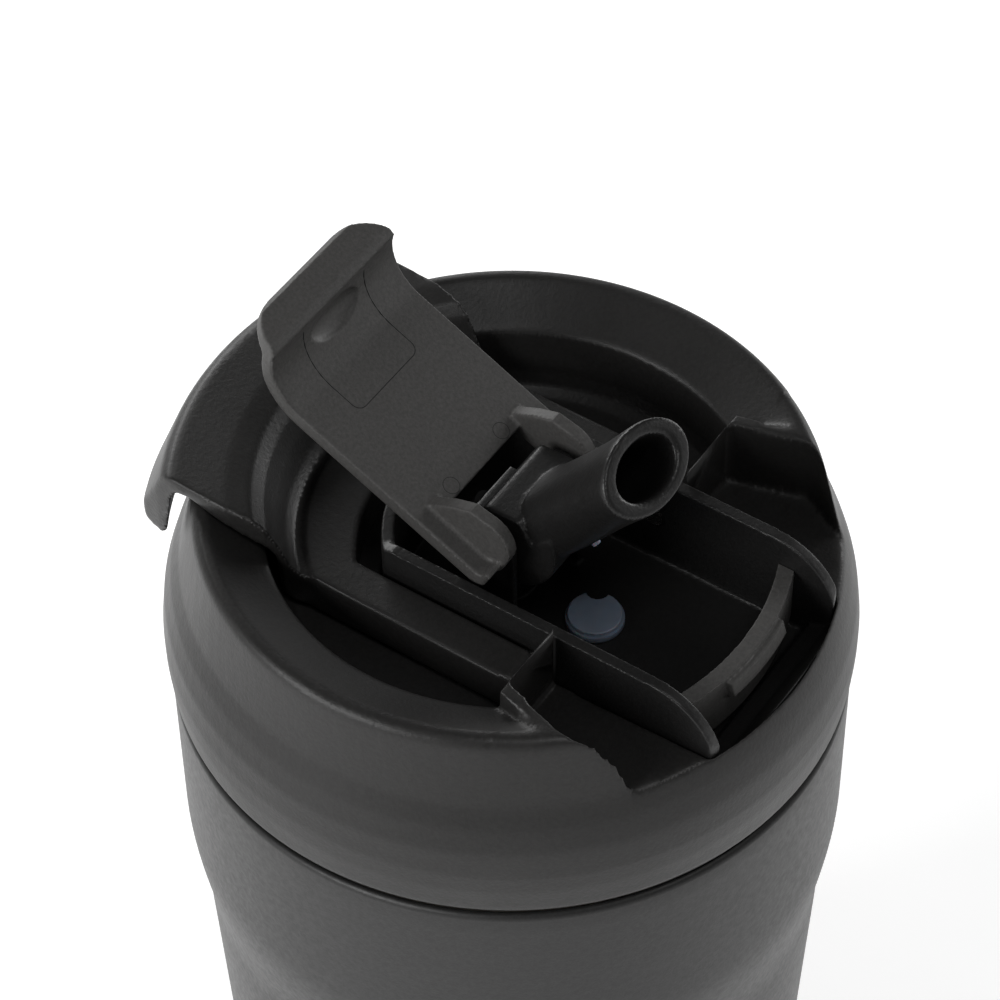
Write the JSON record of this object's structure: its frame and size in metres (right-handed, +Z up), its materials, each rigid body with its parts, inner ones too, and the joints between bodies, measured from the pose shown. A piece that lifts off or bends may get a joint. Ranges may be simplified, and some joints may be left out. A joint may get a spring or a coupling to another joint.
{
  "type": "insulated travel mug",
  "caption": "Vacuum-walled steel travel mug with a screw lid, a flip cover over a tilting drinking spout, and a folding carry handle.",
  "frame": {"origin": "centre of the flat foot, on the surface the mug stands on", "axes": "+Z up along the cup's axis, -Y towards the drinking side, +Y towards the handle's tab, +X to the right seen from the front"},
  "size_m": [0.091, 0.0931, 0.1976],
  "materials": {
    "coated_steel": "matte",
    "bare_steel": "satin",
    "pin_steel": "polished",
    "shell_plastic": "matte",
    "housing_plastic": "satin",
    "cover_plastic": "matte",
    "silicone": "matte",
    "clear_silicone": "satin",
    "clear_plastic": "gloss"
  },
  "bodies": {
    "cup": {"outer_shell": "coated_steel", "inner_liner": "bare_steel", "base_disc": "bare_steel", "vacuum_plug": "bare_steel", "getter": "bare_steel", "base_pad": "silicone"},
    "gasket_ring": {"lid_gasket": "silicone"},
    "lid": {"lid_shell": "shell_plastic", "channel_housing": "housing_plastic", "front_catch": "housing_plastic", "thread_insert": "housing_plastic", "port_seal": "silicone", "vent_valve": "clear_silicone", "straw": "clear_plastic", "hinge_pins": "pin_steel", "handle_pins": "pin_steel"},
    "handle": {"carry_handle": "shell_plastic"},
    "cover": {"flip_cover": "cover_plastic"},
    "tilting_spout": {"spout": "housing_plastic", "spout_plug": "clear_silicone"}
  },
  "joints": [
    {"name": "lid_lift", "type": "slide", "parent": "cup", "child": "gasket_ring", "axis": [0, 0, 1], "range_m": [0, 0.17]},
    {"name": "lid_turn", "type": "hinge", "parent": "gasket_ring", "child": "lid", "pos_m": [0, 0, 0.146], "axis": [0, 0, 1], "range_deg": [0, 270]},
    {"name": "handle_swing", "type": "hinge", "parent": "lid", "child": "handle", "pos_m": [0, -0.013, 0.165], "axis": [1, 0, 0], "range_deg": [0, 14]},
    {"name": "cover_close", "type": "hinge", "parent": "lid", "child": "cover", "pos_m": [0, -0.003, 0.174], "axis": [1, 0, 0], "range_deg": [0, 156]},
    {"name": "spout_fold", "type": "hinge", "parent": "lid", "child": "tilting_spout", "pos_m": [0, -0.003, 0.174], "axis": [1, 0, 0], "range_deg": [0, 70]}
  ],
  "couplings": [
    {"joint": "spout_fold", "follows": "cover_close", "ratio": 0.44871}
  ]
}
